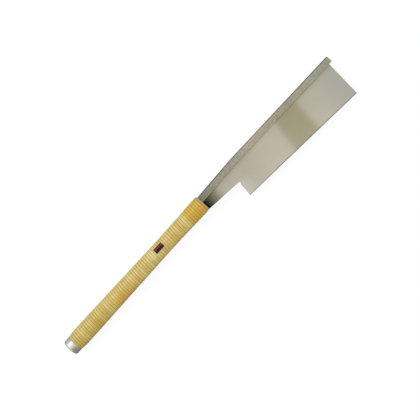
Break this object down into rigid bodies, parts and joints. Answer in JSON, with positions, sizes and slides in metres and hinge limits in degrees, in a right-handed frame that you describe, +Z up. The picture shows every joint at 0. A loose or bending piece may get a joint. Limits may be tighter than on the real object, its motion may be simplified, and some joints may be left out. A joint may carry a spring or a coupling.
{
  "type": "back saw",
  "caption": "Pull saw: a thin toothed plate stiffened by a folded steel spine draws out of a holder inside a straight wooden grip that is wound with cane and capped at the butt.",
  "frame": {"origin": "centre of the butt cap's flat end face, on the grip's axis and in the plate's middle plane", "axes": "+X along the grip towards the blade's tip, +Y across the blade towards the spine, +Z up, square to the plate, as the saw lies flat"},
  "size_m": [0.6325, 0.0814, 0.0274],
  "materials": {
    "plate_steel": "polished spring steel with fine grinding lines along the blade",
    "spine_steel": "satin folded strip",
    "cane": "glossy rattan peel, straw to golden",
    "cap_metal": "polished cap with a rounded edge",
    "grip_wood": "pale sanded softwood",
    "holder_steel": "plain rolled sheet and wire"
  },
  "bodies": {
    "handle": {"rattan_wrap": "cane", "end_cap": "cap_metal", "grip_half_upper": "grip_wood", "grip_half_lower": "grip_wood", "blade_holder": "holder_steel", "stop_pin": "holder_steel", "holder_pins": "holder_steel"},
    "blade": {"saw_plate": "plate_steel", "spine": "spine_steel"}
  },
  "joints": [
    {"name": "blade_draw", "type": "slide", "parent": "handle", "child": "blade", "axis": [0.9996, 0.0279, 0], "range_m": [0, 0.075]}
  ]
}
